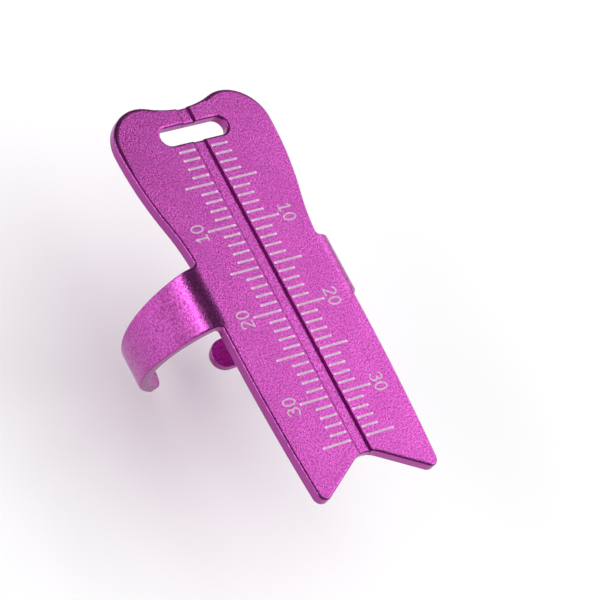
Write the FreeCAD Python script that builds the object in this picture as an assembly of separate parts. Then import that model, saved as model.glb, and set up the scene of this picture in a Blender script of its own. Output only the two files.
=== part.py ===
"""Finger ruler: a flat millimetre scale worn on a finger by two bent bands.

Frame: the origin is on the axis of the finger opening, midway along the bands.
+Y runs along the scale towards the file slot, +Z towards the scale face. Millimetres.
"""
import FreeCAD, Part
import math
import os

from FreeCAD import Vector

# Sheet
SHEET = 1.2
FACE_Z = 7.7
BACK_Z = FACE_Z - SHEET

# Plate outline, right half; the left half mirrors it
SCALE_ZERO_Y = 16.5
DIP_Y = SCALE_ZERO_Y + 3.9
LOBE_X = 5.4
LOBE_Y = SCALE_ZERO_Y + 0.6
LOBE_RADIUS = 4.3
SHOULDER_RADIUS = 34.8
WAIST_RADIUS = 22.9
WAIST_TURN = 15.0
LEG_WIDE_X = 8.38
LEG_WIDE_Y = -5.0
HIP_STRAIGHT = 2.0
LEG_BULGE = 0.17
TIP_X = 6.8
TIP_Y = -22.6
TIP_RADIUS = 0.9
TIP_DRAFT = 4.5
NOTCH_SLOPE = 31.3
NOTCH_RADIUS = 3.0

# Slot for a file's handle stop, and the groove that a file lies in
SLOT_LENGTH = 8.3
SLOT_WIDTH = 2.1
GROOVE_WIDTH = 1.4
GROOVE_DEPTH = 0.22

# Laser marks, as thin inlays flush with the face
MARK_DEPTH = 0.05
MARK_WIDTH = 0.25
MARK_INNER = 1.0
SHORT_OUTER = 3.1
LONG_OUTER = 4.55
LAST_MILLIMETRE = 35
LONG_EVERY = 5

# Numerals, with their tops pointing outwards
NUMERAL_X = 5.6
NUMERAL_HEIGHT = 1.63
NUMERAL_WIDTH = 0.92
NUMERAL_ADVANCE = 1.12
STROKE = 0.19
NUMBERS = (10, 20, 30)

# Bands: each turns down from the plate in a tight root bend, then follows a ring arc
ROOT_WIDTH = 6.85
TAPER = 0.168
ARMS = {
    "left": {"side": -1, "bend_start": 7.6, "root_radius": 3.0, "root_turn": 56.0,
             "ring_radius": 12.0, "end_turn": 151.5},
    "right": {"side": 1, "bend_start": 7.45, "root_radius": 2.5, "root_turn": 58.0,
              "ring_radius": 11.7, "end_turn": 167.0},
}

# Flex joints: a round sheet end in a cup, on an axis along Y in the middle of the sheet
KNUCKLE_TURNS = (46.0, 86.0, 120.0)
SEGMENTS = ("shoulder", "side", "tip")
RUNNING_FIT = 0.03

FAR = 30.0


def turned(angle, radius):
    """Point of a circle at an angle in degrees from +X."""
    return radius * math.cos(math.radians(angle)), radius * math.sin(math.radians(angle))


def arc(centre, radius, start, stop):
    """Arc edge on the XY plane about a centre, between two angles in degrees."""
    points = []
    for angle in (start, (start + stop) / 2, stop):
        dx, dy = turned(angle, radius)
        points.append(Vector(centre[0] + dx, centre[1] + dy, 0))
    return Part.Arc(*points).toShape()


def end_of(edge):
    return edge.Vertexes[-1].Point


def plate_half_edges():
    """Outline of the right half, from the dip at the slot end to the notch's apex."""
    rise = LOBE_Y - DIP_Y
    dip_radius = (LOBE_X ** 2 + rise ** 2 - LOBE_RADIUS ** 2) / (2 * (rise + LOBE_RADIUS))
    dip_centre = (0, DIP_Y + dip_radius)
    dip_turn = math.degrees(math.atan2(LOBE_X, dip_centre[1] - LOBE_Y))
    dip = arc(dip_centre, dip_radius, -90, -90 + dip_turn)
    lobe = arc((LOBE_X, LOBE_Y), LOBE_RADIUS, 90 + dip_turn, 0)
    wide_x = LOBE_X + LOBE_RADIUS
    shoulder = arc((wide_x - SHOULDER_RADIUS, LOBE_Y), SHOULDER_RADIUS, 0, -WAIST_TURN)
    neck = end_of(shoulder)
    dx, dy = turned(180 - WAIST_TURN, WAIST_RADIUS)
    waist = arc((neck.x - dx, neck.y - dy), WAIST_RADIUS, 180 - WAIST_TURN, 180)
    hip = Vector(LEG_WIDE_X, LEG_WIDE_Y, 0)
    flank = Part.LineSegment(end_of(waist), Vector(LEG_WIDE_X, LEG_WIDE_Y + HIP_STRAIGHT, 0)).toShape()
    hip_line = Part.LineSegment(end_of(flank), hip).toShape()
    corner = arc((TIP_X, TIP_Y), TIP_RADIUS, -TIP_DRAFT, -90 - NOTCH_SLOPE)
    leg_end = corner.Vertexes[0].Point
    leg_middle = Vector(LEG_WIDE_X - LEG_BULGE, (hip.y + leg_end.y) / 2, 0)
    leg = Part.Arc(hip, leg_middle, leg_end).toShape()
    toe = end_of(corner)
    slope = math.tan(math.radians(NOTCH_SLOPE))
    apex_dx, apex_dy = turned(90 - NOTCH_SLOPE, NOTCH_RADIUS)
    notch_start = Vector(apex_dx, toe.y + (toe.x - apex_dx) * slope, 0)
    notch = Part.LineSegment(toe, notch_start).toShape()
    apex = arc((0, notch_start.y - apex_dy), NOTCH_RADIUS, 90 - NOTCH_SLOPE, 90)
    return [dip, lobe, shoulder, waist, flank, hip_line, leg, corner, notch, apex]


def plate_blank():
    half = plate_half_edges()
    mirrored = [edge.mirror(Vector(0, 0, 0), Vector(1, 0, 0)) for edge in half]
    wire = Part.Wire(Part.__sortEdges__(half + mirrored))
    blank = Part.Face(wire).extrude(Vector(0, 0, SHEET))
    blank.translate(Vector(0, 0, BACK_Z))
    return blank


def capsule(start, stop, width, low, high):
    """Upright solid with a full-round end at each of two points on the XY plane."""
    radius = width / 2
    run = Vector(stop[0] - start[0], stop[1] - start[1], 0)
    length = run.Length
    body = Part.makeBox(length, width, high - low, Vector(0, -radius, low))
    for x in (0, length):
        body = body.fuse(Part.makeCylinder(radius, high - low, Vector(x, 0, low)))
    body = body.removeSplitter()
    body.rotate(Vector(0, 0, 0), Vector(0, 0, 1), math.degrees(math.atan2(run.y, run.x)))
    body.translate(Vector(start[0], start[1], 0))
    return body


def curved_stroke(centre, radius, start, stop):
    """Stroke along an arc, with round ends, as thick as a mark is deep."""
    outer = radius + STROKE / 2
    inner = radius - STROKE / 2
    edges = [arc(centre, outer, start, stop), arc(centre, inner, start, stop)]
    for angle in (start, stop):
        ends = [Vector(centre[0] + turned(angle, r)[0], centre[1] + turned(angle, r)[1], 0)
                for r in (inner, outer)]
        edges.append(Part.LineSegment(*ends).toShape())
    body = Part.Face(Part.Wire(Part.__sortEdges__(edges))).extrude(Vector(0, 0, MARK_DEPTH))
    for angle in (start, stop):
        dx, dy = turned(angle, radius)
        cap = Part.makeCylinder(STROKE / 2, MARK_DEPTH, Vector(centre[0] + dx, centre[1] + dy, 0))
        body = body.fuse(cap)
    return body


def stroke(start, stop):
    return capsule(start, stop, STROKE, 0, MARK_DEPTH)


def digit_zero(w, h):
    rings = []
    for grow in (STROKE / 2, -STROKE / 2):
        ellipse = Part.Ellipse(Vector(0, 0, 0), h + grow, w + grow).toShape()
        ring = Part.Face(Part.Wire(ellipse)).extrude(Vector(0, 0, MARK_DEPTH))
        ring.rotate(Vector(0, 0, 0), Vector(0, 0, 1), 90)
        rings.append(ring)
    return rings[0].cut(rings[1])


def digit_one(w, h):
    flag = stroke((0, h), (-w * 0.8, h * 0.55))
    stem = stroke((0, h), (0, -h))
    foot = stroke((-w * 0.8, -h), (w * 0.8, -h))
    return stem.fuse([flag, foot])


def digit_two(w, h):
    bowl = curved_stroke((0, h - w), w, 165, -35)
    dx, dy = turned(-35, w)
    slant = stroke((dx, h - w + dy), (-w, -h))
    foot = stroke((-w, -h), (w, -h))
    return bowl.fuse([slant, foot])


def digit_three(w, h):
    top_radius = h * 0.46
    foot_radius = h - top_radius
    top = curved_stroke((0, h - top_radius), top_radius, 150, -90)
    foot = curved_stroke((0, foot_radius - h), foot_radius, 90, -150)
    return top.fuse(foot)


DIGITS = {"0": digit_zero, "1": digit_one, "2": digit_two, "3": digit_three}


def numeral(number, side):
    """Two digits across the scale, centred on their mark, reading along the plate."""
    w = (NUMERAL_WIDTH - STROKE) / 2
    h = (NUMERAL_HEIGHT - STROKE) / 2
    solids = []
    for place, digit in enumerate(str(number)):
        glyph = DIGITS[digit](w, h).removeSplitter()
        glyph.translate(Vector((place - 0.5) * NUMERAL_ADVANCE, 0, 0))
        glyph.rotate(Vector(0, 0, 0), Vector(0, 0, 1), -90 * side)
        glyph.translate(Vector(side * NUMERAL_X, SCALE_ZERO_Y - number, FACE_Z - MARK_DEPTH))
        solids.extend(glyph.Solids)
    return Part.makeCompound(solids)


def marks(side, long_ones):
    outer = LONG_OUTER if long_ones else SHORT_OUTER
    radius = MARK_WIDTH / 2
    solids = []
    for millimetre in range(1, LAST_MILLIMETRE + 1):
        if (millimetre % LONG_EVERY == 0) == long_ones:
            y = SCALE_ZERO_Y - millimetre
            ends = ((side * (MARK_INNER + radius), y), (side * (outer - radius), y))
            solids.append(capsule(*ends, MARK_WIDTH, FACE_Z - MARK_DEPTH, FACE_Z))
    return Part.makeCompound(solids)


class Band:
    """Middle surface of one band, by the angle in degrees that it has turned from the plate."""

    def __init__(self, side, bend_start, root_radius, root_turn, ring_radius, end_turn):
        self.side = side
        self.root_turn = root_turn
        self.end_turn = end_turn
        self.root_middle = root_radius - SHEET / 2
        self.ring_middle = ring_radius - SHEET / 2
        self.root_centre = (bend_start, FACE_Z - root_radius)
        dx, dz = self.outward(root_turn, ring_radius - root_radius)
        self.ring_centre = (bend_start - dx, self.root_centre[1] - dz)

    @staticmethod
    def outward(turn, length):
        return length * math.sin(math.radians(turn)), length * math.cos(math.radians(turn))

    def point(self, turn, offset=0.0, y=0.0):
        in_root = turn <= self.root_turn
        centre = self.root_centre if in_root else self.ring_centre
        middle = self.root_middle if in_root else self.ring_middle
        dx, dz = self.outward(turn, middle + offset)
        return Vector(self.side * (centre[0] + dx), y, centre[1] + dz)

    def normal(self, turn):
        dx, dz = self.outward(turn, 1.0)
        return Vector(self.side * dx, 0, dz)

    def tangent(self, turn):
        dx, dz = self.outward(turn, 1.0)
        return Vector(self.side * dz, 0, -dx)

    def length(self, turn):
        """Distance along the middle surface from the start of the root bend."""
        root = math.radians(min(turn, self.root_turn)) * self.root_middle
        ring = math.radians(max(0.0, turn - self.root_turn)) * self.ring_middle
        return root + ring

    def width(self, turn):
        return ROOT_WIDTH - TAPER * self.length(turn)

    def cup_lip(self, turn, offset):
        """Turn at which a surface of the sheet meets the cup about the knuckle at a turn."""
        in_root = turn < self.root_turn
        middle = self.root_middle if in_root else self.ring_middle
        surface = middle + offset
        reach = SHEET / 2 + RUNNING_FIT
        cosine = (surface ** 2 + middle ** 2 - reach ** 2) / (2 * surface * middle)
        return turn + math.degrees(math.acos(cosine))

    def surface_arcs(self, start, stop, offset):
        """Edges along one surface of the sheet, split where the root bend meets the ring arc."""
        stops = [start, stop]
        if start < self.root_turn < stop:
            stops.insert(1, self.root_turn)
        edges = []
        for low, high in zip(stops, stops[1:]):
            points = [self.point(turn, offset) for turn in (low, (low + high) / 2, high)]
            if high > self.root_turn >= low:
                dx, dz = self.outward(low, self.ring_middle + offset)
                points[0] = Vector(self.side * (self.ring_centre[0] + dx), 0, self.ring_centre[1] + dz)
            edges.append(Part.Arc(*points).toShape())
        return edges

    def bent_sheet(self, start, stop, cup, knuckle):
        """Sheet between two turns, wider than the band, with a cup or a knuckle where asked."""
        half = SHEET / 2
        lips = [self.cup_lip(start, offset) if cup else start for offset in (half, -half)]
        edges = self.surface_arcs(lips[0], stop, half) + self.surface_arcs(lips[1], stop, -half)
        mouth = [self.point(lips[0], half), self.point(lips[1], -half)]
        nose = [self.point(stop, half), self.point(stop, -half)]
        if cup:
            floor = self.point(start) + self.tangent(start) * (half + RUNNING_FIT)
            edges.append(Part.Arc(mouth[0], floor, mouth[1]).toShape())
        else:
            edges.append(Part.LineSegment(*mouth).toShape())
        if knuckle:
            crown = self.point(stop) + self.tangent(stop) * half
            edges.append(Part.Arc(nose[0], crown, nose[1]).toShape())
        else:
            edges.append(Part.LineSegment(*nose).toShape())
        sheet = Part.Face(Part.Wire(Part.__sortEdges__(edges))).extrude(Vector(0, FAR, 0))
        sheet.translate(Vector(0, -FAR / 2, 0))
        return sheet.common(self.taper_block(start, stop, SHEET))

    def taper_block(self, start, stop, reach):
        """Tapered block over a chord of the band, running past both ends by a reach."""
        first = self.point(start)
        last = self.point(stop)
        along = (last - first).normalize()
        across = along.cross(Vector(0, 1, 0))
        half_first = (self.width(start) + TAPER * reach) / 2
        half_last = (self.width(stop) - TAPER * reach) / 2
        corners = []
        for base, run, half in ((first, -reach, half_first), (last, reach, half_last)):
            for y in (-half, half):
                corners.append(base + along * run + Vector(0, y, 0) - across * FAR / 8)
        order = (corners[0], corners[1], corners[3], corners[2], corners[0])
        return Part.Face(Part.makePolygon(order)).extrude(across * FAR / 4)

    def root(self):
        """The start of the root bend, ending in the first knuckle; it is part of the plate."""
        return self.bent_sheet(0.0, KNUCKLE_TURNS[0], cup=False, knuckle=True)

    def round_tip(self, sheet):
        """Full-round free end, cut square to the sheet and as wide as the band is there."""
        radius = self.width(self.end_turn) / (2 - TAPER)
        turn = self.end_turn - math.degrees(radius / self.ring_middle)
        centre = self.point(turn)
        normal = self.normal(turn)
        along = self.tangent(turn)
        keep = Part.makeCylinder(radius, FAR, centre - normal * FAR / 2, normal)
        corners = [centre + Vector(0, -FAR / 2, 0), centre + Vector(0, FAR / 2, 0)]
        corners += [corners[1] + along * FAR / 4, corners[0] + along * FAR / 4, corners[0]]
        beyond = Part.Face(Part.makePolygon([c - normal * SHEET for c in corners]))
        return sheet.cut(beyond.extrude(normal * SHEET * 2).cut(keep))

    def segment(self, index):
        """One stiff length of band, from a cup to the next knuckle or to the round tip."""
        start = KNUCKLE_TURNS[index]
        if index < len(SEGMENTS) - 1:
            return self.bent_sheet(start, KNUCKLE_TURNS[index + 1], cup=True, knuckle=True)
        return self.round_tip(self.bent_sheet(start, self.end_turn, cup=True, knuckle=False))


def ruler_plate(bands, inlays):
    plate = plate_blank()
    slot_x = (SLOT_LENGTH - SLOT_WIDTH) / 2
    slot_y = SCALE_ZERO_Y + SLOT_WIDTH / 2
    for name, band in bands.items():
        start = ARMS[name]["bend_start"]
        clear = Part.makeBox(FAR, ROOT_WIDTH, FAR, Vector(start, -ROOT_WIDTH / 2, 0))
        if band.side < 0:
            clear = clear.mirror(Vector(0, 0, 0), Vector(1, 0, 0))
        plate = plate.cut(clear).fuse(band.root())
    slot = capsule((-slot_x, slot_y), (slot_x, slot_y), SLOT_WIDTH, 0, FAR)
    groove = Part.makeBox(GROOVE_WIDTH, 2 * FAR, FAR,
                          Vector(-GROOVE_WIDTH / 2, -FAR, FACE_Z - GROOVE_DEPTH))
    plate = plate.removeSplitter().cut([slot, groove])
    pockets = [solid for inlay in inlays for solid in inlay.Solids]
    return plate.cut(pockets)


def build():
    bands = {name: Band(**sizes) for name, sizes in ARMS.items()}
    nodes = {}
    for name, band in bands.items():
        for number in NUMBERS:
            nodes[f"{name}_numeral_{number}"] = numeral(number, band.side)
        nodes[f"{name}_short_marks"] = marks(band.side, long_ones=False)
        nodes[f"{name}_long_marks"] = marks(band.side, long_ones=True)
    plate = ruler_plate(bands, list(nodes.values()))
    for name, band in bands.items():
        for index, segment in enumerate(SEGMENTS):
            nodes[f"{name}_band_{segment}"] = band.segment(index)
    nodes["ruler_plate"] = plate
    return nodes, bands


os.makedirs("parts", exist_ok=True)
NODES, BANDS = build()
for node, shape in NODES.items():
    shape.exportStep(f"parts/{node}.step")
    box = shape.BoundBox
    print(f"{node}: {len(shape.Solids)} solids, {shape.Volume:.3f} mm3, valid {shape.isValid()}, "
          f"x {box.XMin:.2f}..{box.XMax:.2f} y {box.YMin:.2f}..{box.YMax:.2f} z {box.ZMin:.2f}..{box.ZMax:.2f}")
for arm, shaped in BANDS.items():
    for turn in KNUCKLE_TURNS:
        pivot = shaped.point(turn)
        print(f"{arm} knuckle at {turn:.0f} degrees: x {pivot.x:.4f} z {pivot.z:.4f}")
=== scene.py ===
"""Looks of the finger ruler: one anodised, stamped sheet, folded around the CAD frame.

The sheet is drawn flat, with its rolled edges and its groove, and then folded into two bands.
Lengths in the sheet's own code are millimetres; Blender's are metres.
"""

import math

import bpy
import numpy as np
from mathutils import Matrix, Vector, geometry


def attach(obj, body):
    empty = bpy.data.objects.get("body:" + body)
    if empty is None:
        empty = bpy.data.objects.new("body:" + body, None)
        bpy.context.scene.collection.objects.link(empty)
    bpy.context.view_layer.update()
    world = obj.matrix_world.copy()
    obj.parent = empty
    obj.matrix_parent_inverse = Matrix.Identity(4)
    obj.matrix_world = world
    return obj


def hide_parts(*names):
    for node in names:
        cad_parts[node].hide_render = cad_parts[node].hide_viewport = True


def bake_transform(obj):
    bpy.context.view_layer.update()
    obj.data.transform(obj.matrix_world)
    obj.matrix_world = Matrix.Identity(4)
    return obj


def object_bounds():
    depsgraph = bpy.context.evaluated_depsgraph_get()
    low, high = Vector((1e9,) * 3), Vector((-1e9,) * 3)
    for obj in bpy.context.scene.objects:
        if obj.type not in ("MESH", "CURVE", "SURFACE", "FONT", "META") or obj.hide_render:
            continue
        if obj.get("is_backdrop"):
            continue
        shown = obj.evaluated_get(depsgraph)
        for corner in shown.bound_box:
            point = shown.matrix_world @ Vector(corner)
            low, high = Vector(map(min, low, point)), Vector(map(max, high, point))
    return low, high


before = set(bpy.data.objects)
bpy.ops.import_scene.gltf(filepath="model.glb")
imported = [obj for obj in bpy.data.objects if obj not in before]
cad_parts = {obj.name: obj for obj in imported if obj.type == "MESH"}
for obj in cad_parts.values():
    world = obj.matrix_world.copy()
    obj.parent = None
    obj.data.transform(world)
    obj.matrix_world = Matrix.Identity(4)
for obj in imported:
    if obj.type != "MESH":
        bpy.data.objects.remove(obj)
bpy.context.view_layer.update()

MM = 0.001

# Sheet; its face is a hair below the marks, so that they show
SHEET = 1.2
FACE_Z = 7.7
FACE_DROP = 0.006
TOP_ROLL = 0.28
LOBE_ROLL = 0.50
LOBE_ROLL_FROM, LOBE_ROLL_OVER = 13.0, 4.0
SLOT_CLEAR_Y, SLOT_CLEAR = 17.5, 4.4
BACK_ROLL = 0.16
TOP_TURNS = (0, 10, 20, 30, 42, 54, 66, 78, 90)
BACK_TURNS = (90, 60, 30, 0)
# Turn of the rolled edge, in degrees, from which its colour is darkened as painted shade
EDGE_SHADE_TURN = 25

# Plate outline, right half
SCALE_ZERO_Y = 16.5
DIP_Y = 20.4
LOBE_X, LOBE_Y, LOBE_RADIUS = 5.4, 17.1, 4.3
SHOULDER_RADIUS = 34.8
WAIST_RADIUS = 22.9
WAIST_TURN = 15.0
HIP_X, HIP_Y = 8.38, -5.0
LEG_BULGE = 0.17
TIP_X, TIP_Y, TIP_RADIUS, TIP_DRAFT = 6.8, -22.6, 0.9, 4.5
NOTCH_SLOPE = 31.3
NOTCH_RADIUS = 3.0
SLOT_LENGTH, SLOT_WIDTH = 8.3, 2.1

# Groove profile: distance from the centre line, depth, and tilt of the surface in degrees
GROOVE = ((0.62, 0.22, 0), (0.65, 0.21, 35), (0.67, 0.18, 78), (0.695, 0.06, 78),
          (0.72, 0.02, 50), (0.77, 0.004, 18), (0.81, 0.001, 8), (0.86, 0.0, 0))
GROOVE_REACH = GROOVE[-1][0]

# Value of the "cut" attribute on the groove's walls, which the material paints in deep shade; it is 0 on
# the face and 1 on sheared edges, which it paints in a milder shade
GROOVE_PAINTED_SHADE = 2.0
FLAT_LEVEL = 0.995

# Bands; the sheet is cut where a piece hands over to the next
ROOT_WIDTH = 6.85
TAPER = 0.168
FILLET = 0.38
ARMS = {
    "left": {"side": -1, "start": 7.6, "root": 3.0, "root_turn": 56.0, "ring": 12.0,
             "end_turn": 151.5, "cuts": (30.0, 66.0, 103.0)},
    "right": {"side": 1, "start": 7.45, "root": 2.5, "root_turn": 58.0, "ring": 11.7,
              "end_turn": 167.0, "cuts": (40.0, 68.0, 103.0)},
}
SEGMENTS = ("shoulder", "side", "tip")
FLEX_MARGIN = 2.0
FLEX_END = 136.0

# The bend eases in past the plate's edge, and fades where the plate is beside a band
EASE_ALONG, EASE_ALONG_OVER = 2.9, 1.0
EASE_RUN, EASE_RUN_OVER = 0.9, 1.2
BEND_REACH = 4.5

# Metres below the part, so that the opened bands stay clear of the floor
FLOOR_GAP = 0.0030


def smooth(x):
    x = np.clip(x, 0, 1)
    return x * x * (3 - 2 * x)


class Band:
    """Where a flat point of the sheet goes on one band; lengths along it start at the bend."""

    def __init__(self, side, start, root, root_turn, ring, end_turn, cuts):
        self.side = side
        self.start = start
        self.end_turn = end_turn
        self.cuts = cuts
        self.root_turn = math.radians(root_turn)
        self.middles = (root - SHEET / 2, ring - SHEET / 2)
        self.root_length = self.root_turn * self.middles[0]
        swing = ring - root
        self.centres = ((start, FACE_Z - root),
                        (start - swing * math.sin(self.root_turn),
                         FACE_Z - root - swing * math.cos(self.root_turn)))

    def length(self, turn):
        """Distance along the middle of the sheet to a turn in degrees."""
        turn = math.radians(turn)
        root = min(turn, self.root_turn) * self.middles[0]
        return root + max(0.0, turn - self.root_turn) * self.middles[1]

    def half_width(self, length):
        return (ROOT_WIDTH - TAPER * length) / 2

    def fold(self, flat):
        """Folded points of flat ones, whose height is 0 on the face and -SHEET on the back."""
        across, along, height = flat[:, 0] * self.side, flat[:, 1], flat[:, 2]
        run = across - self.start
        in_root = run < self.root_length
        turn = np.where(in_root, np.clip(run, 0, None) / self.middles[0],
                        self.root_turn + (run - self.root_length) / self.middles[1])
        radius = np.where(in_root, self.middles[0], self.middles[1]) + height + SHEET / 2
        bent_x = np.where(in_root, self.centres[0][0], self.centres[1][0]) + radius * np.sin(turn)
        bent_z = np.where(in_root, self.centres[0][1], self.centres[1][1]) + radius * np.cos(turn)
        near = 1 - smooth((np.abs(along) - EASE_ALONG) / EASE_ALONG_OVER)
        past = smooth((run - EASE_RUN) / EASE_RUN_OVER)
        bent = np.where(run > 0, 1 - (1 - past) * (1 - near), 0.0)
        bent = np.where(np.abs(along) < BEND_REACH, bent, 0.0)
        x = across + bent * (bent_x - across)
        z = FACE_Z + height + bent * (bent_z - FACE_Z - height)
        return np.stack([x * self.side, along, z], axis=1)

    def place(self, turn):
        """Middle of the sheet at a turn, in metres."""
        flat = np.array([[self.side * (self.start + self.length(turn)), 0.0, -SHEET / 2]])
        return tuple(self.fold(flat)[0] * MM)


BANDS = {name: Band(**sizes) for name, sizes in ARMS.items()}


# ---------------------------------------------------------------- flat outline

def arc(centre, radius, start, stop, step=0.22):
    """Points along an arc with both ends; angles in degrees."""
    count = max(3, math.ceil(abs(math.radians(stop - start)) * radius / step))
    angles = np.radians(np.linspace(start, stop, count + 1))
    return [(centre[0] + radius * math.cos(a), centre[1] + radius * math.sin(a)) for a in angles]


def bowed(start, stop, bow):
    """Points along a shallow curve that stands off its chord by a bow, in x, at the middle."""
    across, along = stop[0] - start[0], stop[1] - start[1]
    return [(start[0] + across * t + bow * 4 * t * (1 - t), start[1] + along * t)
            for t in np.linspace(0, 1, 41)]


def hollow_corner(start, corner, stop):
    """Points inside a concave fillet: a cubic curve tangent to both edges of a corner."""
    a, c, b = np.array(start), np.array(corner), np.array(stop)
    first, second = a + 0.56 * (c - a), b + 0.56 * (c - b)
    points = []
    for t in np.linspace(0, 1, 8)[1:-1]:
        u = 1 - t
        points.append(tuple(u ** 3 * a + 3 * u * u * t * first + 3 * u * t * t * second + t ** 3 * b))
    return points


def stations(band, first, last):
    """Lengths along a band where its mesh has a row: close in the root bend, and one at each cut."""
    cuts = [band.length(turn) for turn in band.cuts]
    rows = list(np.arange(first, band.root_length, 0.16)) + list(np.arange(band.root_length, last, 0.36))
    rows = [s for s in rows if min(abs(s - cut) for cut in cuts) > 0.07]
    return sorted(rows + [cut for cut in cuts if first < cut < last])


def groove_lines():
    """Distances from the plate's middle at which the groove's surface has a line."""
    return [0.0] + [x for x, _, _ in GROOVE]


def head_points():
    """From the dip at the slot end round a lobe and down to the waist's start."""
    rise = LOBE_Y - DIP_Y
    radius = (LOBE_X ** 2 + rise ** 2 - LOBE_RADIUS ** 2) / (2 * (rise + LOBE_RADIUS))
    centre_y = DIP_Y + radius
    turn = math.degrees(math.atan2(LOBE_X, centre_y - LOBE_Y))
    inner = groove_lines()
    points = [(x, centre_y - math.sqrt(radius ** 2 - x * x)) for x in inner]
    first = math.degrees(math.asin((inner[-1] + 0.15) / radius))
    points += arc((0, centre_y), radius, -90 + first, -90 + turn)
    points += arc((LOBE_X, LOBE_Y), LOBE_RADIUS, 90 + turn, 0)[1:]
    wide = LOBE_X + LOBE_RADIUS - SHOULDER_RADIUS
    return points + arc((wide, LOBE_Y), SHOULDER_RADIUS, 0, -WAIST_TURN, 0.4)[1:]


def leg_points():
    """From the hip down a leg, round its tip and up to the notch's apex."""
    corner = arc((TIP_X, TIP_Y), TIP_RADIUS, -TIP_DRAFT, -90 - NOTCH_SLOPE, 0.12)
    slope = math.radians(NOTCH_SLOPE)
    apex_x = NOTCH_RADIUS * math.sin(slope)
    apex_start = (apex_x, corner[-1][1] + (corner[-1][0] - apex_x) * math.tan(slope))
    centre_y = apex_start[1] - NOTCH_RADIUS * math.cos(slope)
    apex = [1.3, 1.12] + groove_lines()[::-1]
    return (bowed((HIP_X, HIP_Y), corner[0], LEG_BULGE)[1:] + corner[1:] + [apex_start]
            + [(x, centre_y + math.sqrt(NOTCH_RADIUS ** 2 - x * x)) for x in apex])


def half_outline(band):
    """Right half of the flat outline from dip to notch, and which points are a band's side rows."""
    points = head_points()
    neck = points[-1]
    turn = math.radians(180 - WAIST_TURN)
    centre = (neck[0] - WAIST_RADIUS * math.cos(turn), neck[1] - WAIST_RADIUS * math.sin(turn))
    upper_y = band.half_width(0.2)
    stop = 180 - math.degrees(math.asin((upper_y + FILLET - centre[1]) / WAIST_RADIUS))
    points += arc(centre, WAIST_RADIUS, 180 - WAIST_TURN, stop, 0.4)[1:]
    upper_x = centre[0] - math.sqrt(WAIST_RADIUS ** 2 - (upper_y - centre[1]) ** 2)
    end = band.length(band.end_turn)
    radius = band.half_width(end) * 2 / (2 - TAPER)
    tip = end - radius
    out = [(band.start + s, band.half_width(s))
           for s in stations(band, upper_x + FILLET - band.start, tip - 0.1)]
    back = [(band.start + s, -band.half_width(s))
            for s in stations(band, HIP_X + FILLET - band.start, tip - 0.1)][::-1]
    points += hollow_corner(points[-1], (upper_x, upper_y), out[0])
    sides = [False] * len(points) + [True] * len(out)
    nose = arc((band.start + tip, 0), radius, 90, -90, 0.16)
    points += out + nose + back
    sides += [False] * len(nose) + [True] * len(back)
    lower_y = -band.half_width(HIP_X - band.start)
    hip = (HIP_X, lower_y - FILLET)
    points += hollow_corner(back[-1], (HIP_X, lower_y), hip) + [hip, (HIP_X, HIP_Y)]
    points += leg_points()
    return points, sides + [False] * (len(points) - len(sides))


def outer_loop():
    """Anticlockwise outline of the flat sheet, and which of its points are a band's side rows."""
    right, right_sides = half_outline(BANDS["right"])
    left, left_sides = half_outline(BANDS["left"])
    points = [(-x, y) for x, y in left[:-1]] + right[:0:-1]
    sides = left_sides[:-1] + right_sides[:0:-1]
    return np.array(points), np.array(sides)


def slot_loop():
    """Clockwise outline of the slot."""
    half = (SLOT_LENGTH - SLOT_WIDTH) / 2
    radius = SLOT_WIDTH / 2
    y = SCALE_ZERO_Y + radius
    inner = [-x for x in groove_lines()[:0:-1]] + groove_lines()
    top = [(x, y + radius) for x in [-2.0] + inner + [2.0]]
    bottom = [(x, y - radius) for x in [2.0] + inner[::-1] + [-2.0]]
    points = top + arc((half, y), radius, 90, -90, 0.12) + bottom + arc((-half, y), radius, 270, 90, 0.12)
    return np.array(points), np.zeros(len(points), bool)


# ---------------------------------------------------------------- sheet mesh

def inward(points, sides):
    """Normal into the material at each point of a loop, and the way its inner rows step from it.

    Side rows of a band and the ends of the groove step straight along Y, to keep their lines straight.
    """
    before = points - np.roll(points, 1, axis=0)
    after = np.roll(points, -1, axis=0) - points
    total = np.zeros_like(points)
    for edge in (before, after):
        unit = edge / np.linalg.norm(edge, axis=1)[:, None]
        total += np.stack([-unit[:, 1], unit[:, 0]], axis=1)
    normal = total / np.linalg.norm(total, axis=1)[:, None]
    straight = np.stack([np.zeros(len(points)), np.sign(normal[:, 1])], axis=1)
    across_groove = np.abs(points[:, 0]) < GROOVE_REACH + 0.01
    return normal, np.where((sides | across_groove)[:, None], straight, normal)


def groove_at(x):
    """Depth of the groove, and the slope and the upward part of its surface's normal."""
    offsets, depths, tilts = (np.array(column, float) for column in zip(*GROOVE))
    depth = np.interp(np.abs(x), offsets, depths, right=0.0)
    tilt = np.radians(np.interp(np.abs(x), offsets, tilts, right=0.0))
    return depth, -np.sign(x) * np.sin(tilt), np.cos(tilt)


def edge_profile():
    """Rows of the sheet's edge: share of the roll's width, height, turn, and whether it is on the face."""
    rows = []
    for turn in np.radians(TOP_TURNS):
        rows.append((1 - math.sin(turn), -FACE_DROP - TOP_ROLL * (1 - math.cos(turn)), turn, True))
    for turn in np.radians(BACK_TURNS):
        rows.append((1 - math.sin(turn), BACK_ROLL * (1 - math.cos(turn)) - SHEET, turn, False))
    return rows


def roll_width(loop):
    """Width of the roll along the face's edge: the stamping rounds the two lobes most."""
    clear_of_slot = np.hypot(loop[:, 0], loop[:, 1] - SLOT_CLEAR_Y) > SLOT_CLEAR
    round_end = smooth((loop[:, 1] - LOBE_ROLL_FROM) / LOBE_ROLL_OVER) * clear_of_slot
    return TOP_ROLL + (LOBE_ROLL - TOP_ROLL) * round_end


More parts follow.
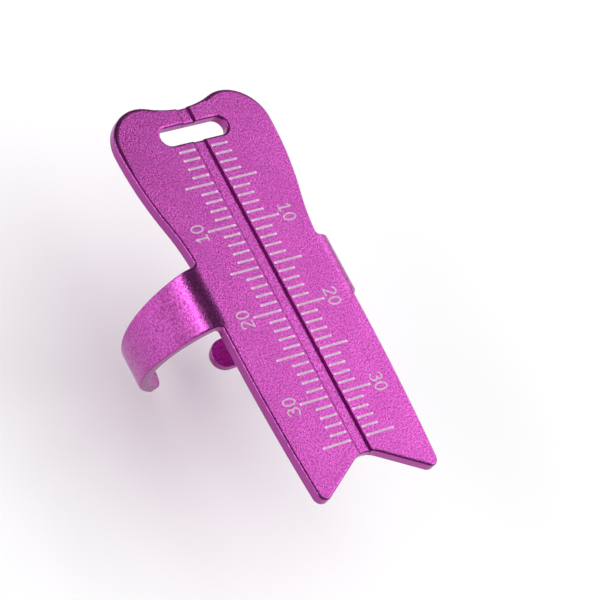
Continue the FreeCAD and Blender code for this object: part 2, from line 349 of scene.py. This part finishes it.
class FlatMesh:
    """The flat sheet's vertices, with their normals, and its faces."""

    def __init__(self):
        self.points = []
        self.normals = []
        # Amount of painted shade at each vertex, for rolled edges and groove walls
        self.cut = []
        self.faces = []

    def add(self, points, normals, cut):
        first = len(self.points)
        self.points.extend(points)
        self.normals.extend(normals)
        self.cut.extend(cut)
        return list(range(first, len(self.points)))

    def add_rim(self, loop, sides):
        """Rolled edge and wall around one loop; returns its first row on the face and last on the back."""
        normal, direction = inward(loop, sides)
        depth, slope, level = groove_at(loop[:, 0])
        grooved = np.abs(loop[:, 0]) < GROOVE_REACH
        widths = roll_width(loop)
        ones = np.ones(len(loop))
        rows = []
        for share, height, turn, on_face in edge_profile():
            width = widths if on_face else BACK_ROLL
            flat = loop + direction * (share * width * ones)[:, None]
            heights = np.full(len(loop), height)
            out = math.sin(turn) * (TOP_ROLL / widths if on_face else 1.0) * ones
            up = math.cos(turn) * ones * (1 if on_face else -1)
            normals = np.stack([-normal[:, 0] * out, -normal[:, 1] * out, up], axis=1)
            # Painted shade on the rolled edge: the "cut" value rises from 0 to 1 as the roll turns from
            # one to two times this angle, and the material darkens it
            cut = smooth((math.degrees(turn) - EDGE_SHADE_TURN) / EDGE_SHADE_TURN) * ones
            if on_face:
                heights = heights - np.where(grooved, depth, 0)
                normals[:, 0] += np.where(grooved, slope * up, 0)
                normals[:, 2] *= np.where(grooved, level, 1)
                # Painted shade: the groove's steep walls get the highest "cut" value, which the material
                # paints nearly black
                cut = np.where(grooved & (level < FLAT_LEVEL), GROOVE_PAINTED_SHADE, cut)
            normals /= np.linalg.norm(normals, axis=1)[:, None]
            rows.append(self.add(np.column_stack([flat, heights]), normals, cut))
        for upper, lower in zip(rows, rows[1:]):
            for a, b, c, d in zip(upper, lower, np.roll(lower, -1), np.roll(upper, -1)):
                self.faces.append((int(a), int(b), int(c), int(d)))
        return rows[0], rows[-1]

    def add_side(self, outer, slot, height, groove):
        """Face or back of the sheet between its outer row and the slot's row."""
        up = 1.0 if groove else -1.0
        flat = np.array([self.points[v][:2] for v in outer + slot])
        polygon, hole = flat[:len(outer)], flat[len(outer):]
        inner, chains = band_rows(polygon)
        heights = np.full(len(inner), height)
        added = self.add(np.column_stack([inner, heights]), [(0, 0, up)] * len(inner), [0.0] * len(inner))
        ids = outer + slot + added
        points = np.vstack([flat, inner])
        edges = [(k, (k + 1) % len(outer)) for k in range(len(outer))]
        edges += [(len(outer) + k, len(outer) + (k + 1) % len(slot)) for k in range(len(slot))]
        edges += [(a + len(flat) if a >= 0 else -a - 1, b + len(flat) if b >= 0 else -b - 1)
                  for a, b in chains]
        if groove:
            edges += groove_edges(flat, len(outer))
        result = geometry.delaunay_2d_cdt([Vector(p) for p in points], edges, [], 0, 1e-6)
        corners = [sources[0] for sources in result[3]]
        triangles = np.array([[corners[v] for v in face] for face in result[2]])
        centres = points[triangles].mean(axis=1)
        keep = within(centres, polygon) & ~within(centres, hole)
        for a, b, c in triangles[keep]:
            turned = np.cross(points[b] - points[a], points[c] - points[a]) * up > 0
            face = (a, b, c) if turned else (a, c, b)
            self.faces.append(tuple(ids[v] for v in face))


def within(points, polygon):
    """Which points lie inside a polygon."""
    x, y = points[:, 0][:, None], points[:, 1][:, None]
    x1, y1 = polygon[:, 0], polygon[:, 1]
    x2, y2 = np.roll(x1, -1), np.roll(y1, -1)
    crosses = (y1 > y) != (y2 > y)
    rise = np.where(y2 == y1, 1.0, y2 - y1)
    return (np.sum(crosses & (x < (x2 - x1) * (y - y1) / rise + x1), axis=1) % 2) == 1


def band_rows(polygon):
    """Points inside the bands, in rows, and chains along the cuts that end on the polygon.

    A chain's end on the polygon is written as -1 - its index there.
    """
    points = []
    chains = []
    for band in BANDS.values():
        cuts = [band.length(turn) for turn in band.cuts]
        rows = [-0.4, -0.2, 0.0] + stations(band, 0.16, band.length(band.end_turn) - 0.4)
        for length in rows:
            x = band.side * (band.start + length)
            half = 4.2 if length < 1.2 else band.half_width(length)
            ys = np.linspace(-half, half, 2 * math.ceil(half / 0.4) + 1)
            row = np.column_stack([np.full(len(ys), x), ys])
            gap = np.min(np.linalg.norm(row[:, None] - polygon[None], axis=2), axis=1)
            row = row[within(row, polygon) & (gap > 0.14)]
            first = len(points)
            points.extend(row)
            if length in cuts:
                ends = [nearest(polygon, (x, sign * (band.half_width(length) - 0.2))) for sign in (-1, 1)]
                run = [-1 - ends[0]] + list(range(first, len(points))) + [-1 - ends[1]]
                chains += list(zip(run, run[1:]))
    return np.array(points), chains


def nearest(points, target):
    return int(np.argmin(np.linalg.norm(points - np.array(target), axis=1)))


def groove_edges(flat, outer_count):
    """Lines of the groove, from the dip to the slot and from the slot to the notch."""
    def end(first, last, x, upper):
        """Index of the vertex at a line's end, in the upper or lower half of a loop."""
        middle = flat[first:last, 1].mean() if first else 0.0
        wrong = (flat[first:last, 1] > middle) != upper
        return first + int(np.argmin(np.abs(flat[first:last, 0] - x) + 100 * wrong))

    edges = []
    for x in [-x for x in groove_lines()[:0:-1]] + groove_lines():
        edges.append((end(0, outer_count, x, True), end(outer_count, len(flat), x, True)))
        edges.append((end(outer_count, len(flat), x, False), end(0, outer_count, x, False)))
    return edges


# ---------------------------------------------------------------- folded pieces

def flat_sheet():
    sheet = FlatMesh()
    outer, slot = outer_loop(), slot_loop()
    outer_face, outer_back = sheet.add_rim(*outer)
    slot_face, slot_back = sheet.add_rim(*slot)
    sheet.add_side(outer_face, slot_face, -FACE_DROP, groove=True)
    sheet.add_side(outer_back, slot_back, -SHEET, groove=False)
    return sheet


def folded(points):
    left = points[:, 0] < 0
    return np.where(left[:, None], BANDS["left"].fold(points), BANDS["right"].fold(points))


def folded_normals(points, normals):
    """Normals carried through the fold, from how it turns a small step along each flat axis."""
    step = 1e-4
    moves = [(folded(points + step * axis) - folded(points - step * axis)) / (2 * step)
             for axis in np.eye(3)]
    faces = [np.cross(moves[1], moves[2]), np.cross(moves[2], moves[0]), np.cross(moves[0], moves[1])]
    total = sum(face * normals[:, k][:, None] for k, face in enumerate(faces))
    return total / np.linalg.norm(total, axis=1)[:, None]


def piece_of(centre):
    """Name of the piece that a face of the flat sheet belongs to."""
    for name, band in BANDS.items():
        length = centre[0] * band.side - band.start
        passed = sum(length > band.length(turn) for turn in band.cuts)
        if passed and abs(centre[1]) < ROOT_WIDTH / 2 + 0.2:
            return f"{name}_{SEGMENTS[passed - 1]}"
    return "plate"


def caps(faces):
    """Faces that close a piece where the sheet was cut."""
    sides = {(a, b) for face in faces for a, b in zip(face, face[1:] + face[:1])}
    before = {b: a for a, b in sides if (b, a) not in sides}
    found = []
    while before:
        start = vertex = next(iter(before))
        ring = []
        while vertex in before:
            ring.append(vertex)
            vertex = before.pop(vertex)
        found.append(tuple(ring))
        assert vertex == start
    return found


def make_piece(name, faces, points, normals, cut):
    """One closed mesh, with the normals of the uncut sheet and flat caps."""
    closing = caps(faces)
    used = sorted({v for face in faces for v in face})
    index = {v: k for k, v in enumerate(used)}
    mesh = bpy.data.meshes.new(name)
    mesh.from_pydata([tuple(points[v] * MM) for v in used], [],
                     [tuple(index[v] for v in face) for face in faces + closing])
    mesh.polygons.foreach_set("use_smooth", [True] * len(mesh.polygons))
    corner_normals = [normals[v] for face in faces for v in face]
    for ring in closing:
        corners = points[list(ring)]
        area = sum(np.cross(corners[k - 1] - corners[0], corners[k] - corners[0])
                   for k in range(2, len(ring)))
        corner_normals += [area / np.linalg.norm(area)] * len(ring)
    mesh.normals_split_custom_set([tuple(n) for n in corner_normals])
    # The "cut" attribute carries the painted shade of rolled edges and groove walls to the material
    mesh.attributes.new("cut", "FLOAT", "POINT").data.foreach_set("value", [cut[v] for v in used])
    piece = bpy.data.objects.new(name, mesh)
    bpy.context.scene.collection.objects.link(piece)
    return piece


def fold_sheet(material):
    """The plate, attached to its body, and the three pieces of each band, baked where they are folded."""
    sheet = flat_sheet()
    flat = np.array(sheet.points, float)
    points = folded(flat)
    normals = folded_normals(flat, np.array(sheet.normals, float))
    groups = {}
    for face in sheet.faces:
        groups.setdefault(piece_of(flat[list(face), :2].mean(axis=0)), []).append(face)
    pieces = {}
    for name, faces in groups.items():
        pieces[name] = make_piece(f"{name}_sheet", faces, points, normals, sheet.cut)
        pieces[name].data.materials.append(material)
    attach(pieces["plate"], "plate")
    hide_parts("ruler_plate")
    for name, band in BANDS.items():
        ends = band.cuts[1:] + (FLEX_END + FLEX_MARGIN,)
        for k, segment in enumerate(SEGMENTS):
            piece = pieces[f"{name}_{segment}"]
            band.place(band.cuts[k] + FLEX_MARGIN)
            band.place(ends[k] - FLEX_MARGIN)
            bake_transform(piece)
            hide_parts(f"{name}_band_{segment}")


# ---------------------------------------------------------------- materials

class Nodes:
    """Short calls for building one material's node tree."""

    def __init__(self, name):
        self.material = bpy.data.materials.new(name)
        self.material.use_nodes = True
        self.tree = self.material.node_tree
        self.shader = self.tree.nodes["Principled BSDF"]
        self.place = self.add("ShaderNodeTexCoord").outputs["Object"]

    def add(self, kind, **settings):
        node = self.tree.nodes.new(kind)
        for key, value in settings.items():
            setattr(node, key, value)
        return node

    def link(self, out, socket):
        self.tree.links.new(out, socket)

    def noise(self, scale, detail=2.0, rough=0.5):
        node = self.add("ShaderNodeTexNoise")
        self.link(self.place, node.inputs["Vector"])
        node.inputs["Scale"].default_value = scale
        node.inputs["Detail"].default_value = detail
        node.inputs["Roughness"].default_value = rough
        return node.outputs["Fac"]

    def spread(self, value, low, high, to_low, to_high):
        node = self.add("ShaderNodeMapRange")
        self.link(value, node.inputs["Value"])
        for key, number in zip(("From Min", "From Max", "To Min", "To Max"), (low, high, to_low, to_high)):
            node.inputs[key].default_value = number
        return node.outputs["Result"]

    def math(self, operation, a, b):
        node = self.add("ShaderNodeMath", operation=operation)
        for socket, value in zip(node.inputs, (a, b)):
            if isinstance(value, (int, float)):
                socket.default_value = value
            else:
                self.link(value, socket)
        return node.outputs["Value"]

    def mix(self, share, low, high):
        node = self.add("ShaderNodeMix", data_type="RGBA")
        self.link(share, node.inputs["Factor"])
        for socket, colour in ((node.inputs[6], low), (node.inputs[7], high)):
            if isinstance(colour, tuple):
                socket.default_value = (*colour, 1.0)
            else:
                self.link(colour, socket)
        return node.outputs[2]

    def bump(self, height, distance, strength, under=None):
        node = self.add("ShaderNodeBump")
        node.inputs["Distance"].default_value = distance
        node.inputs["Strength"].default_value = strength
        self.link(height, node.inputs["Height"])
        if under is not None:
            self.link(under, node.inputs["Normal"])
        return node.outputs["Normal"]

    def attribute(self, name):
        return self.add("ShaderNodeAttribute", attribute_name=name).outputs["Fac"]


def anodised_material():
    """Satin magenta anodising over a fine blasted grain, with painted shade: darker on the cut edges,
    darkest on the groove walls.
    """
    nodes = Nodes("anodised_magenta")
    shader = nodes.shader
    shader.inputs["Metallic"].default_value = 1.0
    cloud = nodes.spread(nodes.noise(220, 3.0), 0.35, 0.65, 0.0, 1.0)
    dye = nodes.mix(cloud, (0.63, 0.110, 0.51), (0.69, 0.130, 0.57))
    speck = nodes.spread(nodes.noise(5200, 2.0, 0.7), 0.40, 0.58, 0.0, 1.0)
    grained = nodes.mix(speck, (0.34, 0.045, 0.28), dye)
    # Painted shade: rolled edges and walls darkened along a ragged line
    ragged = nodes.spread(nodes.noise(3000, 2.0), 0.3, 0.7, -0.35, 0.35)
    cut = nodes.spread(nodes.math("ADD", nodes.attribute("cut"), ragged), 0.3, 0.75, 0.0, 1.0)
    # Painted shade: the groove's walls, with the highest "cut" values, are painted nearly black
    painted_groove_shade = nodes.spread(nodes.attribute("cut"), 1.2, 1.8, 0.0, 1.0)
    painted_edge_shade = nodes.mix(cut, grained, (0.36, 0.060, 0.29))
    nodes.link(nodes.mix(painted_groove_shade, painted_edge_shade, (0.11, 0.006, 0.085)), shader.inputs["Base Color"])
    nodes.link(nodes.spread(nodes.noise(700, 3.0), 0.3, 0.7, 0.24, 0.30), shader.inputs["Roughness"])
    grain = nodes.bump(nodes.noise(6500, 2.0, 0.6), 0.00004, 0.8)
    swell = nodes.bump(nodes.noise(700, 1.0), 0.00003, 0.25, grain)
    nodes.link(swell, shader.inputs["Normal"])
    return nodes.material


def mark_material(name, line_ends):
    """Bleached oxide: matt pinkish white, brighter where the laser starts and stops a line."""
    nodes = Nodes(name)
    shader = nodes.shader
    shader.inputs["Metallic"].default_value = 0.3
    patches = nodes.spread(nodes.noise(2600, 3.0), 0.35, 0.65, 0.0, 1.0)
    bleach = nodes.mix(patches, (0.50, 0.32, 0.47), (0.62, 0.45, 0.58))
    split = nodes.add("ShaderNodeSeparateXYZ")
    nodes.link(nodes.place, split.inputs["Vector"])
    away = nodes.math("ABSOLUTE", split.outputs["X"], 0.0)
    for end in line_ends:
        near = nodes.math("ABSOLUTE", nodes.math("SUBTRACT", away, end), 0.0)
        bleach = nodes.mix(nodes.spread(near, 0.00006, 0.00022, 1.0, 0.0), bleach, (0.76, 0.55, 0.72))
    nodes.link(bleach, shader.inputs["Base Color"])
    nodes.link(nodes.spread(nodes.noise(3000, 2.0), 0.3, 0.7, 0.45, 0.65), shader.inputs["Roughness"])
    nodes.link(nodes.bump(nodes.noise(6000, 2.0), 0.00001, 0.4), shader.inputs["Normal"])
    return nodes.material


def floor_material():
    nodes = Nodes("pale_floor")
    shader = nodes.shader
    shader.inputs["Specular IOR Level"].default_value = 0.2
    shader.inputs["Roughness"].default_value = 0.9
    shade = nodes.spread(nodes.noise(6, 2.0), 0.3, 0.7, 0.0, 1.0)
    nodes.link(nodes.mix(shade, (0.86, 0.86, 0.87), (0.90, 0.90, 0.90)), shader.inputs["Base Color"])
    return nodes.material


# ---------------------------------------------------------------- studio

def soft_box(name, spot, size, brightness, mirrored=True):
    """Area light that faces the ruler; its brightness is what a mirror would show of it."""
    light = bpy.data.lights.new(name, "AREA")
    light.shape = "RECTANGLE"
    light.size, light.size_y = size
    light.energy = brightness * math.pi * size[0] * size[1]
    lamp = bpy.data.objects.new(name, light)
    lamp.location = spot
    lamp.rotation_euler = (-Vector(spot)).to_track_quat("-Z", "Y").to_euler()
    lamp.visible_glossy = mirrored
    bpy.context.scene.collection.objects.link(lamp)


def studio():
    """A broad key on the right, a narrower box on the left, and a lamp that only lifts the floor."""
    world = bpy.data.worlds.new("studio")
    bpy.context.scene.world = world
    world.use_nodes = True
    background = world.node_tree.nodes["Background"]
    background.inputs["Color"].default_value = (1.0, 1.0, 1.0, 1.0)
    background.inputs["Strength"].default_value = 0.12
    soft_box("key", (0.28, -0.06, 0.218), (0.50, 0.31), 1.95)
    soft_box("side", (-0.308, 0.10, 0.163), (0.40, 0.14), 4.2)
    soft_box("lift", (0.0, 0.0, 0.8), (1.2, 1.2), 1.35, mirrored=False)
    floor_mesh = bpy.data.meshes.new("floor")
    reach, level = 3.0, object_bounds()[0][2] - FLOOR_GAP
    square = ((-reach, -reach), (reach, -reach), (reach, reach), (-reach, reach))
    corners = [(x, y, level) for x, y in square]
    floor_mesh.from_pydata(corners, [], [(0, 1, 2, 3)])
    floor = bpy.data.objects.new("floor", floor_mesh)
    floor.data.materials.append(floor_material())
    bpy.context.scene.collection.objects.link(floor)
    floor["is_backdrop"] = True


def camera():
    """Long lens from the lower left, above the scale face."""
    data = bpy.data.cameras.new("camera")
    data.lens = 210
    data.sensor_width = 36
    data.clip_start = 0.01
    seat = bpy.data.objects.new("camera", data)
    seat.location = (-0.20732, -0.09974, 0.26790)
    seat.rotation_euler = [math.radians(angle) for angle in (33.039, -26.711, -30.517)]
    bpy.context.scene.collection.objects.link(seat)
    bpy.context.scene.camera = seat


def colour_marks():
    """The CAD's own lines and numerals, in the laser's bleached oxide."""
    looks = {
        "short_marks": mark_material("laser_short_lines", (0.0011, 0.0030)),
        "long_marks": mark_material("laser_long_lines", (0.0011, 0.00445)),
        "numeral": mark_material("laser_numerals", ()),
    }
    for node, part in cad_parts.items():
        for kind, look in looks.items():
            if kind in node:
                part.data.materials.clear()
                part.data.materials.append(look)


fold_sheet(anodised_material())
colour_marks()
studio()
camera()
bpy.context.scene.view_settings.view_transform = "Standard"
